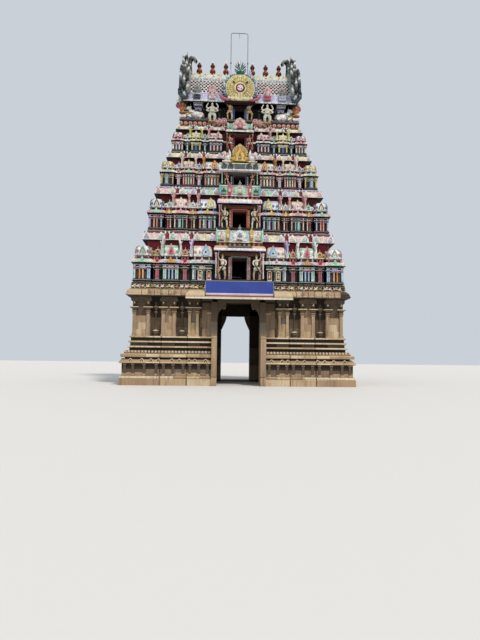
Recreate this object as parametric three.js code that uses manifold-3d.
import * as THREE from 'three';
import { mergeVertices } from 'three/addons/utils/BufferGeometryUtils.js';
import Module from 'manifold-3d';

// A gopuram: the painted gate tower of a South Indian temple, with a granite storey pierced by a
// passage, four stucco storeys (talas) that step back, a neck, and a barrel roof with horned gables.
// Millimetres, Z up. The front faces -Y, X runs along the facade, and the origin is on the ground
// under the middle of the tower.

const wasm = await Module();
wasm.setup();

// Driving dimensions of the granite storey
const PASSAGE_HALF = 1380;
const CHAMBER_HALF = 1720;
const WALL_HALF_WIDTH = 6600;
const WALL_HALF_DEPTH = 4050;
const PLINTH_TOP = 3090;
const WALL_TOP = 5630;
const CORNICE_TOP = 6110;
const FRIEZE_TOP = 6450;
const BAY_PROUD = 180;
const POST_HEIGHT = 3120;
const POST_FRONT = 4990;
const FRAME_FRONT = 4250;
const FRAME_BACK = 3450;
const LINTEL_BOTTOM = 5350;
const CORBEL_BOTTOM = 4300;
const CORBEL_REACH = 530;
const DOOR_FRAME_HALF = 1075;
const DOOR_FRAME_Y = [1100, 1700];
const DOOR_FRAME_HEAD = 4900;
const SILL_HEIGHT = 120;

// The canopy over the gate and the board that stands on it
const CANOPY_HALF = 2950;
const CANOPY_BOTTOM = 5420;
const CANOPY_BACK = 4150;
const CANOPY_REACH = 1200;
const CANOPY_FLARE = 420;
const CANOPY_THICKNESS = 130;
const SIGN_HALF = 2170;
const SIGN_BOTTOM = 5680;
const SIGN_TOP = 6620;
const SIGN_RAIL = 130;
const SIGN_FACE = 5030;
const SEAT_GAP = 0.3;

// Driving dimensions of the four stucco storeys, from the lowest up
const STOREYS = [
  { top: 10050, halfWidth: 6970, halfDepth: 4450, corniceWidth: 6400, corniceDepth: 3880,
    doorHalf: 490, doorFoot: 6750, doorHead: 8250, porchHalf: 1560, roofTop: 8980, panelHalf: 1500 },
  { top: 13280, halfWidth: 6150, halfDepth: 3780, corniceWidth: 5770, corniceDepth: 3320,
    doorHalf: 470, doorFoot: 10320, doorHead: 11600, porchHalf: 1480, roofTop: 12290, panelHalf: 1350 },
  { top: 15990, halfWidth: 5480, halfDepth: 3150, corniceWidth: 5080, corniceDepth: 2750,
    doorHalf: 400, doorFoot: 13490, doorHead: 14170, porchHalf: 1420, roofTop: 14920, panelHalf: 1200 },
  { top: 18130, halfWidth: 4800, halfDepth: 2620, corniceWidth: 4520, corniceDepth: 2300,
    doorHalf: 340, doorFoot: 16190, doorHead: 17200, porchHalf: 960, roofTop: 17640, panelHalf: 850 },
];

// Heights in one storey, as shares of its whole height
const KAPOTA_BOTTOM = 0.35;
const KAPOTA_TOP = 0.455;
const NECK_TOP = 0.545;
const ROOF_TOP = 0.71;
const CORNICE_BOTTOM = 0.828;

// Where the miniature shrines stand along one half of the facade, as shares of its half width
const FACADE_BAYS = [
  { roof: 'dome', from: 0.82, to: 0.978 },
  { roof: 'point', from: 0.725, to: 0.8 },
  { roof: 'barrel', from: 0.562, to: 0.71 },
  { roof: 'point', from: 0.468, to: 0.545 },
  { roof: 'barrel', from: 0.255, to: 0.44 },
];
// and on a side wall, as shares of its half depth
const SIDE_BAYS = [
  { roof: 'point', from: -0.5, to: -0.38 },
  { roof: 'barrel', from: -0.25, to: 0.25 },
  { roof: 'point', from: 0.38, to: 0.5 },
];
const KAPOTA_REACH = 150;
const RECESS = 200;
const EAVE_REACH = 350;
const WALL_THICKNESS = 500;
const FLOOR_THICKNESS = 300;

// Driving dimensions of the neck, the barrel roof and what stands on it
const NECK_BASE = { halfWidth: 4280, halfDepth: 2150, step: 18560, top: 18750, inset: 110 };
const NECK = { halfWidth: 3750, halfDepth: 1500, thickness: 350, doorHalf: 350, doorHead: 19780 };
const EAVE_BOTTOM = 19850;
const EAVE_LIP = 110;
const SPRING = 20370;
const EAVE_HALF = 2300;
const VAULT_HALF = 2060;
const VAULT_RISE = 2580;
const VAULT_SHELL = 240;
const VAULT_LENGTH = 7400;
const VAULT_SEGMENTS = 16;
const RIDGE = { halfWidth: 250, height: 100 };
const GABLE = { thickness: 520, shoulder: 2500, tip: 24900 };
const FINIAL = { count: 7, pitch: 1010, height: 1360, radius: 225 };
const MEDALLION = { z: 20840, radius: 1010, halo: 1290, face: 2480, crest: 23000 };
const LAMP_FRAME = { half: 640, top: 26520, radius: 30, bend: 150, y: -190 };
const PIPE_SIDES = 6;
const LAMP = { height: 190, radius: 70, drop: 160 };

// Turn a closed three.js geometry into a solid that can be joined and cut
function solid(geometry) {
  geometry.deleteAttribute('normal');
  geometry.deleteAttribute('uv');
  const welded = mergeVertices(geometry, 0.01);
  const vertProperties = new Float32Array(welded.attributes.position.array);
  const triVerts = new Uint32Array(welded.index.array);
  return new wasm.Manifold(new wasm.Mesh({ numProp: 3, vertProperties, triVerts }));
}

function unite(solids) {
  return solids.reduce((whole, piece) => whole.add(piece));
}

function box([x0, x1], [y0, y1], [z0, z1]) {
  const geometry = new THREE.BoxGeometry(x1 - x0, y1 - y0, z1 - z0);
  return solid(geometry.translate((x0 + x1) / 2, (y0 + y1) / 2, (z0 + z1) / 2));
}

function extrude(outline, depth) {
  const shape = new THREE.Shape(outline.map(([u, v]) => new THREE.Vector2(u, v)));
  return new THREE.ExtrudeGeometry(shape, { depth, bevelEnabled: false, steps: 1 });
}

// An outline of (y, z) points carried along X
function alongX(outline, [x0, x1]) {
  const turn = new THREE.Matrix4().makeBasis(
    new THREE.Vector3(0, 1, 0), new THREE.Vector3(0, 0, 1), new THREE.Vector3(1, 0, 0));
  return solid(extrude(outline, x1 - x0).applyMatrix4(turn).translate(x0, 0, 0));
}

// An outline of (x, z) points carried along Y
function alongY(outline, [y0, y1]) {
  const turn = new THREE.Matrix4().makeBasis(
    new THREE.Vector3(1, 0, 0), new THREE.Vector3(0, 0, 1), new THREE.Vector3(0, -1, 0));
  return solid(extrude(outline, y1 - y0).applyMatrix4(turn).translate(0, y1, 0));
}

// A block whose four sides all follow one moulding: profile lists (height, outset) upwards, and
// reach says how much of the outset each side takes
function mouldedBlock([x0, x1], [y0, y1], profile, reach = {}) {
  const { left = 1, right = 1, front = 1, back = 1 } = reach;
  const outline = (low, high, lowReach, highReach) => [
    ...profile.map(([z, out]) => [high + out * highReach, z]),
    ...profile.map(([z, out]) => [low - out * lowReach, z]).reverse(),
  ];
  const farX = [x0 - 3000, x1 + 3000];
  const farY = [y0 - 3000, y1 + 3000];
  const acrossX = alongY(outline(x0, x1, left, right), farY);
  const acrossY = alongX(outline(y0, y1, front, back), farX);
  return acrossX.intersect(acrossY);
}

// Points on an ellipse in turn from one angle to another, in degrees
function arc([u, v], [radiusU, radiusV], from, to, segments) {
  return Array.from({ length: segments + 1 }, (unused, step) => {
    const angle = THREE.MathUtils.degToRad(from + ((to - from) * step) / segments);
    return [u + radiusU * Math.cos(angle), v + radiusV * Math.sin(angle)];
  });
}

// A turned piece: profile lists (radius, height) from the axis back to the axis
function turned(profile, segments, [x, y, z]) {
  const points = profile.map(([radius, height]) => new THREE.Vector2(radius, height));
  const geometry = new THREE.LatheGeometry(points, segments);
  return solid(geometry.rotateX(Math.PI / 2).translate(x, y, z));
}

function ball([x, y, z], [rx, ry, rz]) {
  const geometry = new THREE.SphereGeometry(1, 6, 5).rotateX(Math.PI / 2);
  return solid(geometry.scale(rx, ry, rz).translate(x, y, z));
}

function mirrorX(piece) {
  return piece.mirror([1, 0, 0]);
}

function mirrorY(piece) {
  return piece.mirror([0, 1, 0]);
}

function bothSides(piece) {
  return piece.add(mirrorX(piece));
}

// Mouldings of the granite storey: footing, slab, die, drooping kapota with its recess, slab,
// lotus band, two fillets and the top band
const PLINTH_PROFILE = [
  [0, 850], [500, 850], [500, 800], [680, 800], [680, 700], [1300, 700], [1300, 860], [1400, 850],
  [1620, 690], [1620, 550], [1740, 550], [1740, 780], [1960, 780], [1960, 620], [2170, 560],
  [2170, 320], [2310, 320], [2310, 450], [2440, 450], [2440, 280], [2630, 280], [2630, 400],
  [2760, 400], [2760, 250], [2940, 250], [2940, 350], [PLINTH_TOP, 350], [PLINTH_TOP, 0],
  [WALL_TOP, 0],
];
const BAY_PROFILE = [
  [PLINTH_TOP, 0], [4870, 0], [4870, 90], [5030, 90], [5030, 0], [WALL_TOP, 0],
];
const GRANITE_BAYS = [[5640, 6780], [3840, 4870], [2430, 3200]];
const GRANITE_SIDE_BAYS = [[-2300, -1300], [-500, 500], [1300, 2300]];

function graniteFlank() {
  const flank = mouldedBlock(
    [CHAMBER_HALF, WALL_HALF_WIDTH], [-WALL_HALF_DEPTH, WALL_HALF_DEPTH], PLINTH_PROFILE,
    { left: 0 });
  const bayFront = WALL_HALF_DEPTH + BAY_PROUD;
  const bays = GRANITE_BAYS.map((span) => mouldedBlock(span, [-bayFront, bayFront], BAY_PROFILE));
  const bayEnd = WALL_HALF_WIDTH + BAY_PROUD;
  const sideBays = GRANITE_SIDE_BAYS.map(
    (span) => mouldedBlock([WALL_HALF_WIDTH - 500, bayEnd], span, BAY_PROFILE));
  return unite([flank, ...bays, ...sideBays]);
}

function canopyBlock(grow) {
  const drop = CORNICE_TOP - CANOPY_BOTTOM;
  const curve = arc([1, CANOPY_BOTTOM + 90], [1, drop - 90], 180, 90, 5)
    .map(([u, z]) => [z, 1 - u]);
  const profile = [[CANOPY_BOTTOM, 1], ...curve];
  const reachX = CANOPY_FLARE;
  const reachY = CANOPY_REACH;
  return mouldedBlock(
    [-CANOPY_HALF - grow, CANOPY_HALF + grow], [-CANOPY_BACK - grow, -CANOPY_BACK + grow],
    profile, { left: reachX, right: reachX, front: reachY, back: 0 });
}

function signBoard() {
  const board = box(
    [-SIGN_HALF, SIGN_HALF], [-SIGN_FACE - 30, -SIGN_FACE + 30], [SIGN_BOTTOM, SIGN_TOP]);
  const rail = box(
    [-SIGN_HALF, SIGN_HALF], [-SIGN_FACE - 60, -SIGN_FACE + 120],
    [SIGN_BOTTOM, SIGN_BOTTOM + SIGN_RAIL]);
  return board.add(rail);
}

function canopy(withBoard) {
  const hollow = canopyBlock(0).translate([0, 0, -CANOPY_THICKNESS]);
  const shell = canopyBlock(0).subtract(hollow);
  const seat = box(
    [-SIGN_HALF - SEAT_GAP, SIGN_HALF + SEAT_GAP],
    [-SIGN_FACE - 60 - SEAT_GAP, -SIGN_FACE + 120 + SEAT_GAP],
    [SIGN_BOTTOM - SEAT_GAP, SIGN_TOP]);
  return withBoard ? shell.subtract(seat) : shell;
}

function stoneCornice() {
  const profile = [
    [WALL_TOP, 600], [WALL_TOP + 70, 620], [5900, 560], [6040, 480], [CORNICE_TOP, 380],
    [CORNICE_TOP, 330], [FRIEZE_TOP, 330],
  ];
  const slab = mouldedBlock(
    [-WALL_HALF_WIDTH, WALL_HALF_WIDTH], [-WALL_HALF_DEPTH, WALL_HALF_DEPTH], profile);
  const notch = canopyBlock(SEAT_GAP);
  return slab.subtract(notch).subtract(mirrorY(notch));
}

function gateFrame() {
  const post = box([PASSAGE_HALF, CHAMBER_HALF], [-POST_FRONT, -FRAME_BACK], [0, POST_HEIGHT]);
  const jamb = box(
    [PASSAGE_HALF, CHAMBER_HALF], [-FRAME_FRONT, -FRAME_BACK], [0, WALL_TOP]);
  const lintel = box(
    [-CHAMBER_HALF, CHAMBER_HALF], [-FRAME_FRONT, -FRAME_BACK], [LINTEL_BOTTOM, WALL_TOP]);
  const inner = PASSAGE_HALF - CORBEL_REACH;
  const corbelOutline = [
    ...arc([inner, CORBEL_BOTTOM], [CORBEL_REACH, 750], 0, 90, 4),
    [inner, LINTEL_BOTTOM + 50], [PASSAGE_HALF + 50, LINTEL_BOTTOM + 50],
    [PASSAGE_HALF + 50, CORBEL_BOTTOM],
  ];
  const corbel = alongY(corbelOutline, [-FRAME_FRONT + 100, -FRAME_BACK - 100]);
  return unite([bothSides(unite([post, jamb, corbel])), lintel]);
}

function doorFrame() {
  const post = box([DOOR_FRAME_HALF, CHAMBER_HALF], DOOR_FRAME_Y, [0, WALL_TOP]);
  const head = box([-CHAMBER_HALF, CHAMBER_HALF], DOOR_FRAME_Y, [DOOR_FRAME_HEAD, WALL_TOP]);
  const sill = box([-CHAMBER_HALF, CHAMBER_HALF], DOOR_FRAME_Y, [0, SILL_HEIGHT]);
  const bracketOutline = [
    [DOOR_FRAME_HALF + 50, 3800], [DOOR_FRAME_HALF + 50, DOOR_FRAME_HEAD + 50],
    [DOOR_FRAME_HALF - 380, DOOR_FRAME_HEAD + 50], [DOOR_FRAME_HALF - 380, 4750],
    [DOOR_FRAME_HALF, 3850],
  ];
  const bracket = alongY(bracketOutline, DOOR_FRAME_Y);
  return unite([bothSides(post.add(bracket)), head, sill]);
}

// One storey, with the sizes that follow from its driving dimensions
function storeySizes(index) {
  const storey = STOREYS[index];
  const base = index === 0 ? FRIEZE_TOP : STOREYS[index - 1].top;
  const height = storey.top - base;
  const scale = height / 3600;
  return {
    ...storey,
    base,
    height,
    scale,
    level: (share) => base + share * height,
    bodyWidth: storey.halfWidth - KAPOTA_REACH * scale,
    bodyDepth: storey.halfDepth - KAPOTA_REACH * scale,
    wallWidth: storey.corniceWidth - EAVE_REACH,
    wallDepth: storey.corniceDepth - EAVE_REACH,
    roomWidth: storey.corniceWidth - EAVE_REACH - WALL_THICKNESS,
    roomDepth: storey.corniceDepth - EAVE_REACH - WALL_THICKNESS,
    doorBay: FACADE_BAYS.at(-1).from * storey.halfWidth - KAPOTA_REACH * scale - 10,
  };
}

// Shaft, drooping kapota and neck of the row of miniature shrines
function shrineProfile(storey) {
  const { base, level, scale } = storey;
  const reach = KAPOTA_REACH * scale;
  return [
    [base, 0], [level(KAPOTA_BOTTOM), 0], [level(KAPOTA_BOTTOM), reach], [level(KAPOTA_TOP), 0],
    [level(NECK_TOP), 0],
  ];
}

// Roof of a miniature shrine over the rectangle that it covers; long says which way a barrel runs
function shrineRoof(kind, [x0, x1], [y0, y1], storey, long) {
  const { level, height } = storey;
  const foot = level(NECK_TOP) - 20;
  const rise = level(ROOF_TOP) - foot;
  if (kind === 'barrel') {
    const across = long === 'x' ? [y0, y1] : [x0, x1];
    const half = (across[1] - across[0]) / 2;
    const outline = arc([(across[0] + across[1]) / 2, foot], [half, rise], 0, 180, 6);
    return long === 'x' ? alongX(outline, [x0, x1]) : alongY(outline, [y0, y1]);
  }
  if (kind === 'dome') {
    const half = (x1 - x0) / 2;
    const profile = [
      [foot, 0], [foot + 0.35 * rise, 0.06 * half], [foot + 0.7 * rise, -0.3 * half],
      [foot + 0.95 * rise, -0.75 * half],
    ];
    return mouldedBlock([x0, x1], [y0, y1], profile);
  }
  const profile = [[foot, 0], [foot + 0.1 * height, -0.44 * Math.min(x1 - x0, y1 - y0)]];
  return mouldedBlock([x0, x1], [y0, y1], profile);
}

// One miniature shrine with its roof. A pointed one is a plain shaft that stands a little back
function shrine(kind, spanX, spanY, roofX, roofY, storey, long) {
  const { base, level } = storey;
  const body = kind === 'point'
    ? box(spanX, spanY, [base, level(NECK_TOP)])
    : mouldedBlock(spanX, spanY, shrineProfile(storey));
  return body.add(shrineRoof(kind, roofX, roofY, storey, long));
}

// A wall of one storey seen from its own outside: the plain wall that carries the cornice, the
// lower wall between the shrines, and the shrines with their roofs
function frontWall(index) {
  const storey = storeySizes(index);
  const { base, level, halfWidth, bodyWidth, bodyDepth, wallWidth, wallDepth, roomDepth } = storey;
  const tall = box([-wallWidth, wallWidth], [-wallDepth, -roomDepth], [base, level(CORNICE_BOTTOM)]);
  const low = box(
    [-bodyWidth + RECESS, bodyWidth - RECESS], [-bodyDepth + RECESS, -roomDepth],
    [base, level(KAPOTA_TOP)]);
  const half = FACADE_BAYS.map(({ roof, from, to }) => {
    const face = -bodyDepth + (roof === 'point' ? RECESS / 2 : 0);
    const spanX = [from * halfWidth, to * halfWidth];
    const spanY = [face, roof === 'dome' ? face + spanX[1] - spanX[0] : -wallDepth];
    const roofY = [face, roof === 'barrel' ? -wallDepth + 50 : spanY[1]];
    return shrine(roof, spanX, spanY, spanX, roofY, storey, 'x');
  });
  const room = box([-9000, 9000], [-roomDepth, 9000], [0, 30000]);
  const door = box(
    [-storey.doorHalf, storey.doorHalf], [-9000, 0], [storey.doorFoot, storey.doorHead]);
  return unite([tall, low, bothSides(unite(half))]).subtract(room).subtract(door);
}

function sideWall(index) {
  const storey = storeySizes(index);
  const { base, level, halfDepth, bodyWidth, wallWidth, roomWidth, roomDepth } = storey;
  const tall = box([roomWidth, wallWidth], [-roomDepth, roomDepth], [base, level(CORNICE_BOTTOM)]);
  const low = box(
    [roomWidth, bodyWidth - RECESS], [-roomDepth, roomDepth], [base, level(KAPOTA_TOP)]);
  const bays = SIDE_BAYS.map(({ roof, from, to }) => {
    const face = bodyWidth - (roof === 'point' ? RECESS / 2 : 0);
    const spanY = [from * halfDepth, to * halfDepth];
    return shrine(roof, [wallWidth - 200, face], spanY, [wallWidth - 50, face], spanY, storey, 'y');
  });
  return unite([tall, low, ...bays]);
}

// The drooping cornice that closes a storey, with the floor of the one above
function storeyCornice(index) {
  const { level, top, wallWidth, wallDepth, roomWidth, roomDepth, height } = storeySizes(index);
  const bottom = level(CORNICE_BOTTOM);
  const drop = top - bottom;
  const profile = [
    [bottom, EAVE_REACH - 10], [bottom + 0.12 * drop, EAVE_REACH], [bottom + 0.55 * drop, 300],
    [bottom + 0.85 * drop, 220], [top, 180],
  ];
  const slab = mouldedBlock([-wallWidth, wallWidth], [-wallDepth, wallDepth], profile);
  const ceiling = box(
    [-roomWidth, roomWidth], [-roomDepth, roomDepth], [bottom - height, top - FLOOR_THICKNESS]);
  return slab.subtract(ceiling);
}

// A standing guardian, roughly: legs, hips, chest, head and crown on one axis
function guardian([x, y, z], height) {
  const girth = 0.13 * height;
  const profile = [
    [0, 0], [1, 0], [1.2, 0.45], [0.75, 0.58], [1.25, 0.74], [0.5, 0.79], [0.6, 0.9], [0, 1],
  ];
  return turned(profile.map(([r, h]) => [r * girth, h * height]), 6, [x, y, z]);
}

// The door bay in front of a storey: side piers with guardians and slender columns, the beam and
// curved roof over the door, and the arched panel that stands on the roof before the cornice
function porch(index) {
  const storey = storeySizes(index);
  const { base, level, scale, doorHalf, doorHead, doorFoot, roofTop, panelHalf } = storey;
  const wallFace = -storey.bodyDepth + RECESS;
  const front = -storey.halfDepth;
  const ledge = front - 330 * scale;
  const half = Math.min(storey.porchHalf, storey.doorBay);
  const roofBottom = doorHead + 0.35 * (roofTop - doorHead);
  const clear = roofBottom - doorFoot;
  const columnHeight = clear + 40;
  const column = turned(
    [[0, 0], [75 * scale, 0], [75 * scale, columnHeight], [0, columnHeight]], 6,
    [half - 90 * scale, ledge + 110 * scale, doorFoot - 20]);
  const side = unite([
    box([doorHalf, half - 180], [front, wallFace], [base, roofTop - 50]),
    box([doorHalf, half], [ledge, wallFace], [base, doorFoot]),
    column,
    guardian([(doorHalf + half) / 2, front - 120 * scale, doorFoot - 10], 0.98 * clear),
  ]);
  const roofProfile = arc([0, roofBottom], [1, roofTop - roofBottom], 0, 80, 3)
    .map(([out, z]) => [z, out]);
  const reach = 450 * scale;
  const roofSide = storey.porchHalf - reach / 2;
  const roof = mouldedBlock([-roofSide, roofSide], [front - 60, front - 5], roofProfile,
    { left: reach / 2, right: reach / 2, front: reach, back: 0 });
  const panelFront = Math.max(-storey.corniceDepth - 500 * scale, front);
  const panelBack = -storey.corniceDepth - 5;
  const panelTop = storey.top - 60 * scale;
  const arch = arc([0, roofTop + 40], [panelHalf * 0.42, storey.top - roofTop - 60], 0, 180, 6);
  return unite([
    bothSides(side),
    box([-half, half], [ledge, wallFace], [base, doorFoot - 120 * scale]),
    box([-half + 100, half - 100], [front - 60, wallFace], [doorHead, roofTop - 50]),
    roof,
    box([-panelHalf, panelHalf], [panelFront, panelBack], [roofTop - 60, panelTop]),
    alongY(arch, [panelFront - 60 * scale, panelBack]),
    box([-panelHalf + 60, panelHalf - 60], [panelFront + 20, -storey.wallDepth],
      [roofTop - 60, level(CORNICE_BOTTOM)]),
  ]);
}

// The plinth of the neck with the bulls, dancers and seated figures that stand on it
function neckBase() {
  const { halfWidth, halfDepth, step, top, inset } = NECK_BASE;
  const last = STOREYS[STOREYS.length - 1];
  const frieze = box([-halfWidth, halfWidth], [-halfDepth, halfDepth], [last.top, step]);
  const slab = box(
    [-halfWidth + inset, halfWidth - inset], [-halfDepth + inset, halfDepth - inset],
    [step - 50, top]);
  const foot = -halfDepth + 320;
  const bull = unite([
    ball([3250, foot, top + 330], [640, 230, 330]),
    ball([3780, foot, top + 560], [260, 180, 250]),
    box([2800, 3800], [foot - 180, foot + 180], [top - 40, top + 200]),
  ]);
  const dancer = guardian([2080, foot, top - 20], 1090);
  const seated = guardian([4020, foot, top - 20], 950);
  const doorGuard = guardian([700, foot, top - 20], 1090);
  const quarter = unite([bull, dancer, seated, doorGuard]);
  const front = bothSides(quarter);
  return unite([frieze, slab, front, mirrorY(front)]);
}

function neckWall() {
  const { halfWidth, halfDepth, thickness, doorHalf, doorHead } = NECK;
  const foot = NECK_BASE.top;
  const ring = box([-halfWidth, halfWidth], [-halfDepth, halfDepth], [foot, EAVE_BOTTOM]);
  const room = box(
    [-halfWidth + thickness, halfWidth - thickness],
    [-halfDepth + thickness, halfDepth - thickness], [foot - 10, EAVE_BOTTOM + 10]);
  const doors = box([-doorHalf, doorHalf], [-9000, 9000], [foot - 10, doorHead]);
  return ring.subtract(room).subtract(doors);
}

function vaultOutline(half, rise, lip) {
  return [
    [lip, EAVE_BOTTOM], [lip, EAVE_BOTTOM + EAVE_LIP],
    ...arc([0, SPRING], [half, rise], 0, 180, VAULT_SEGMENTS),
    [-lip, EAVE_BOTTOM + EAVE_LIP], [-lip, EAVE_BOTTOM],
  ];
}

function roofVault() {
  const span = [-VAULT_LENGTH / 2, VAULT_LENGTH / 2];
  const outer = alongX(vaultOutline(VAULT_HALF, VAULT_RISE, EAVE_HALF), span);
  const seat = NECK.halfDepth - NECK.thickness;
  const innerOutline = [
    [seat, EAVE_BOTTOM - 10], [seat, SPRING - 150],
    ...arc([0, SPRING], [VAULT_HALF - VAULT_SHELL, VAULT_RISE - VAULT_SHELL], 0, 180, 12),
    [-seat, SPRING - 150], [-seat, EAVE_BOTTOM - 10],
  ];
  const inner = alongX(innerOutline, [span[0] - 10, span[1] + 10]);
  const ridge = box(span, [-RIDGE.halfWidth, RIDGE.halfWidth],
    [SPRING + VAULT_RISE - 80, SPRING + VAULT_RISE + RIDGE.height]);
  return outer.subtract(inner).add(ridge);
}

// A gable: the flame-edged horseshoe plate, its pointed crest, the horn that hooks in over the
// ridge and the tails that flare at its feet
function gable() {
  const inner = VAULT_LENGTH / 2;
  const outer = inner + GABLE.thickness;
  const crown = SPRING + VAULT_RISE;
  const plateOutline = [
    [2150, EAVE_BOTTOM + 60], [GABLE.shoulder + 150, EAVE_BOTTOM + 260],
    ...arc([0, SPRING + 350], [GABLE.shoulder, crown + 450 - SPRING - 350], 0, 70, 7),
    [340, crown + 900], [0, GABLE.tip], [-340, crown + 900],
    ...arc([0, SPRING + 350], [GABLE.shoulder, crown + 450 - SPRING - 350], 110, 180, 7),
    [-GABLE.shoulder - 150, EAVE_BOTTOM + 260], [-2150, EAVE_BOTTOM + 60],
  ];
  const plate = alongX(plateOutline, [inner, outer]);
  const hornOutline = [
    ...arc([inner - 120, crown + 1250], [340, 330], -20, 170, 7),
    [inner - 370, crown + 1170],
    ...arc([inner - 120, crown + 1250], [170, 170], 160, 0, 5),
    [inner + 20, crown + 150], [inner + 260, crown + 150],
  ];
  const horn = alongY(hornOutline, [-130, 130]);
  const tail = alongX(
    [[1500, EAVE_BOTTOM + 100], [2450, EAVE_BOTTOM + 100], [2350, SPRING + 500], [1500, SPRING + 300]],
    [outer - 50, outer + 330]);
  return unite([plate, horn, tail, mirrorY(tail)]);
}

// The medallion over the door of the neck: a disc with halo, ring and boss, side scrolls, the
// dormer that ties it to the barrel, and the leafy crest
function medallion() {
  const { z, radius, halo, face, crest } = MEDALLION;
  const disc = (r, [y0, y1], segments) => alongY(arc([0, z], [r, r], 0, 360, segments).slice(1), [y0, y1]);
  const body = unite([
    disc(halo, [-face + 130, -1000], 24),
    disc(radius, [-face, -1000], 24),
    disc(330, [-face - 70, -face + 50], 12),
    box([-1150, 1150], [-face + 60, -1000], [EAVE_BOTTOM - 60, EAVE_BOTTOM + 260]),
    alongY([[-380, z + 1100], [380, z + 1100], [430, z + 1500], [0, crest], [-430, z + 1500]],
      [-face + 130, -face + 330]),
  ]);
  const behind = alongX(
    vaultOutline(VAULT_HALF + SEAT_GAP, VAULT_RISE + SEAT_GAP, EAVE_HALF + SEAT_GAP),
    [-2000, 2000]);
  const under = box([-2000, 2000], [-9000, 0], [0, EAVE_BOTTOM - 40]);
  const eave = box([-2000, 2000], [-EAVE_HALF - SEAT_GAP, 0], [0, EAVE_BOTTOM]);
  return body.subtract(behind).subtract(under).subtract(eave);
}

// A kalasam: foot, pot, collar, small pot and spike, turned in copper
function finial(index) {
  const { count, pitch, height, radius } = FINIAL;
  const x = (index - (count - 1) / 2) * pitch;
  const shape = [
    [0, 0], [0.8, 0], [0.5, 0.12], [1, 0.29], [0.95, 0.37], [0.4, 0.48], [0.8, 0.59],
    [0.75, 0.67], [0.25, 0.8], [0, 1],
  ];
  return turned(shape.map(([r, h]) => [r * radius, h * height]), 8,
    [x, 0, SPRING + VAULT_RISE + RIDGE.height]);
}

function lampFrame() {
  const { half, top, radius, bend, y } = LAMP_FRAME;
  const foot = SPRING + VAULT_RISE + RIDGE.height;
  const path = new THREE.CurvePath();
  const at = (x, z) => new THREE.Vector3(x, y, z);
  path.add(new THREE.LineCurve3(at(-half, foot), at(-half, top - bend)));
  path.add(new THREE.QuadraticBezierCurve3(at(-half, top - bend), at(-half, top), at(-half + bend, top)));
  path.add(new THREE.LineCurve3(at(-half + bend, top), at(half - bend, top)));
  path.add(new THREE.QuadraticBezierCurve3(at(half - bend, top), at(half, top), at(half, top - bend)));
  path.add(new THREE.LineCurve3(at(half, top - bend), at(half, foot)));
  const ring = new THREE.Shape(arc([0, 0], [radius, radius], 0, 360, PIPE_SIDES).slice(1)
    .map(([u, v]) => new THREE.Vector2(u, v)));
  return solid(new THREE.ExtrudeGeometry(ring, { extrudePath: path, steps: 26, bevelEnabled: false }));
}

function lamp() {
  const { half, top, radius, y } = LAMP_FRAME;
  const hang = top - radius * Math.cos(Math.PI / PIPE_SIDES) - SEAT_GAP;
  const profile = [
    [0, 0], [LAMP.radius, 20], [LAMP.radius, LAMP.height - 60], [20, LAMP.height],
    [14, LAMP.height + LAMP.drop], [0, LAMP.height + LAMP.drop],
  ];
  return turned(profile, 8, [0, y, hang - LAMP.height - LAMP.drop]);
}

// Finishes
const granite = { color: 0x96826a, roughness: 0.9, metalness: 0 };
const stucco = { color: 0xe2c6bd, roughness: 0.75, metalness: 0 };
const palePaint = { color: 0xd9d2b4, roughness: 0.75, metalness: 0 };
const goldPaint = { color: 0xd8bf6e, roughness: 0.6, metalness: 0 };
const darkPaint = { color: 0x5b2a28, roughness: 0.8, metalness: 0 };
const copper = { color: 0x7c4630, roughness: 0.45, metalness: 1 };
const steel = { color: 0x8d9196, roughness: 0.5, metalness: 1 };
const board = { color: 0x2d4a9b, roughness: 0.4, metalness: 0 };

function geometryOf(piece) {
  const { numProp, vertProperties, triVerts } = piece.getMesh();
  const positions = new Float32Array((vertProperties.length / numProp) * 3);
  for (let i = 0; i < positions.length / 3; i += 1) {
    positions.set(vertProperties.subarray(i * numProp, i * numProp + 3), i * 3);
  }
  const geometry = new THREE.BufferGeometry();
  geometry.setAttribute('position', new THREE.BufferAttribute(positions, 3));
  geometry.setIndex(new THREE.BufferAttribute(new Uint32Array(triVerts), 1));
  return geometry;
}

const gopuram = new THREE.Group();

function place(name, piece, finish) {
  const mesh = new THREE.Mesh(geometryOf(piece), new THREE.MeshStandardMaterial(finish));
  mesh.name = name;
  gopuram.add(mesh);
}

const flank = graniteFlank();
place('granite_flank_left', mirrorX(flank), granite);
place('granite_flank_right', flank, granite);
place('granite_cornice', stoneCornice(), granite);
place('gate_frame_front', gateFrame(), granite);
place('gate_frame_back', mirrorY(gateFrame()), granite);
place('inner_door_frame', doorFrame(), granite);
place('gate_canopy_front', canopy(true), granite);
place('gate_canopy_back', mirrorY(canopy(false)), granite);
place('sign_board', signBoard(), board);

STOREYS.forEach((unused, index) => {
  const name = `tala_${index + 1}`;
  const front = frontWall(index);
  const side = sideWall(index);
  const doorBay = porch(index);
  place(`${name}_wall_front`, front, stucco);
  place(`${name}_wall_back`, mirrorY(front), stucco);
  place(`${name}_wall_right`, side, stucco);
  place(`${name}_wall_left`, mirrorX(side), stucco);
  place(`${name}_porch_front`, doorBay, palePaint);
  place(`${name}_porch_back`, mirrorY(doorBay), palePaint);
  place(`${name}_cornice`, storeyCornice(index), stucco);
});

place('neck_base', neckBase(), stucco);
place('neck_wall', neckWall(), darkPaint);
place('roof_vault', roofVault(), stucco);
place('gable_right', gable(), stucco);
place('gable_left', mirrorX(gable()), stucco);
place('medallion_front', medallion(), goldPaint);
place('medallion_back', mirrorY(medallion()), goldPaint);
for (let index = 0; index < FINIAL.count; index += 1) {
  place(`kalasam_${index + 1}`, finial(index), copper);
}
place('lamp_frame', lampFrame(), steel);
place('lamp', lamp(), steel);

export default gopuram;
